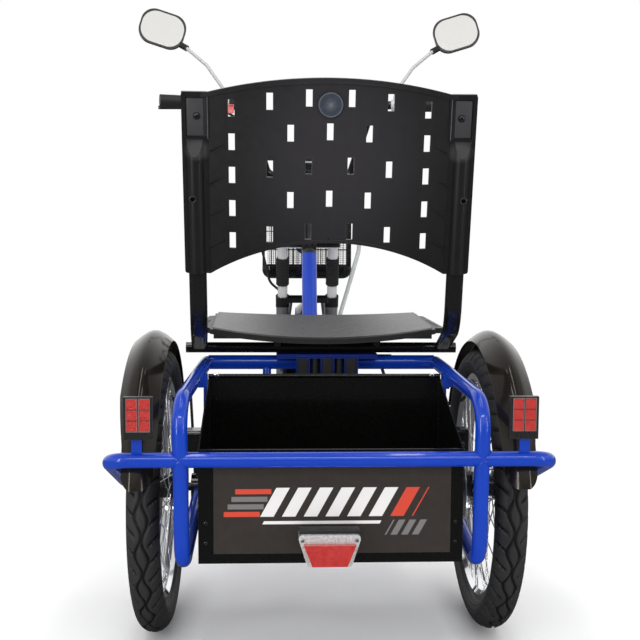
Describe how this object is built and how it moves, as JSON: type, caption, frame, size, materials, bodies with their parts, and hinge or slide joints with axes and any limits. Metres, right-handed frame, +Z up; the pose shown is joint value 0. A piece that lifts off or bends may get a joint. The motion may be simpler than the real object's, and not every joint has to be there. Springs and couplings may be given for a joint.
{
  "type": "electric tricycle",
  "caption": "Step-through electric tricycle with a slotted backrest seat, tube guards, an open cargo box, mirrors and a sprung front fork.",
  "frame": {"origin": "on the ground, under the middle of the machine's box", "axes": "+X to the rider's right, +Y forward, +Z up"},
  "size_m": [0.9012, 1.73, 1.3243],
  "materials": {
    "black_paint": "gloss paint",
    "black_plastic": "fine grain",
    "blue_paint": "gloss paint",
    "box_paint": "gloss paint on sheet",
    "cable_sheath": "clear sleeve over silver braid",
    "chrome": "bright plated",
    "clear_lens": "silvered clear plastic",
    "gloss_black": "gloss",
    "grey_pad": "woven grain",
    "grip_rubber": "matt",
    "mirror_glass": "silvered",
    "motor_alloy": "cast, satin",
    "plate_print": "satin print",
    "red_lens": "ribbed clear red",
    "steel": "satin",
    "tyre": "matt"
  },
  "bodies": {
    "chassis": {"main_frame": "blue_paint", "rear_hoops": "blue_paint", "rear_bumper": "blue_paint", "axle_beam": "black_paint", "differential_case": "black_paint", "rear_sprocket": "steel", "chain": "steel", "rear_fenders": "gloss_black", "fender_stays": "black_paint", "cargo_box": "box_paint", "back_plate": "plate_print", "tail_lamp_housing": "clear_lens", "tail_lamp_lens": "red_lens", "reflector_bodies": "black_plastic", "reflector_lenses": "red_lens", "seat_bracket": "blue_paint", "seat_springs": "black_plastic", "seat_frame": "black_paint", "seat_shell": "black_plastic", "seat_panel": "grey_pad", "backrest_shell": "black_plastic", "backrest_cap": "black_plastic", "backrest_posts": "black_paint", "battery_case": "black_plastic", "cable_bundle": "grip_rubber", "brake_calipers": "black_paint", "rear_brake_cables": "grip_rubber"},
    "rear_wheel_left": {"rear_left_tyre": "tyre", "rear_left_rim": "chrome", "rear_left_hub": "black_paint", "rear_left_disc": "steel"},
    "rear_wheel_right": {"rear_right_tyre": "tyre", "rear_right_rim": "chrome", "rear_right_hub": "black_paint", "rear_right_disc": "steel"},
    "fork": {"fork_upper": "chrome", "fork_lowers": "black_paint", "stem": "black_paint", "handlebar": "black_paint", "grips": "grip_rubber", "brake_levers": "black_plastic", "mirror_stalks": "chrome", "mirror_heads": "black_plastic", "mirror_glasses": "mirror_glass", "bar_switch": "black_plastic", "headlamp": "black_plastic", "front_basket": "black_paint", "front_fender": "gloss_black", "fork_boots": "grip_rubber", "front_brake": "motor_alloy", "headlamp_lens": "clear_lens", "motor_cable": "cable_sheath", "brake_cable": "grip_rubber"},
    "front_wheel": {"front_tyre": "tyre", "front_rim": "chrome", "front_motor": "motor_alloy"},
    "crank": {"crank_set": "motor_alloy", "chainring": "steel"},
    "left_pedal": {"pedal_left": "black_plastic"},
    "right_pedal": {"pedal_right": "black_plastic"}
  },
  "joints": [
    {"name": "rear_left_spin", "type": "hinge", "parent": "chassis", "child": "rear_wheel_left", "pos_m": [-0.305, -0.505, 0.26], "axis": [1, 0, 0], "continuous": true},
    {"name": "rear_right_spin", "type": "hinge", "parent": "chassis", "child": "rear_wheel_right", "pos_m": [0.305, -0.505, 0.26], "axis": [1, 0, 0], "continuous": true},
    {"name": "steering", "type": "hinge", "parent": "chassis", "child": "fork", "pos_m": [0, 0.37032, 0.80245], "axis": [0, -0.342, 0.9397], "range_deg": [-42, 42]},
    {"name": "front_spin", "type": "hinge", "parent": "fork", "child": "front_wheel", "pos_m": [0, 0.605, 0.26], "axis": [1, 0, 0], "continuous": true},
    {"name": "crank_spin", "type": "hinge", "parent": "chassis", "child": "crank", "pos_m": [0, 0.085, 0.3], "axis": [1, 0, 0], "continuous": true},
    {"name": "left_pedal_spin", "type": "hinge", "parent": "crank", "child": "left_pedal", "pos_m": [-0.142, -0.065, 0.3], "axis": [1, 0, 0], "continuous": true},
    {"name": "right_pedal_spin", "type": "hinge", "parent": "crank", "child": "right_pedal", "pos_m": [0.142, 0.235, 0.3], "axis": [1, 0, 0], "continuous": true}
  ]
}
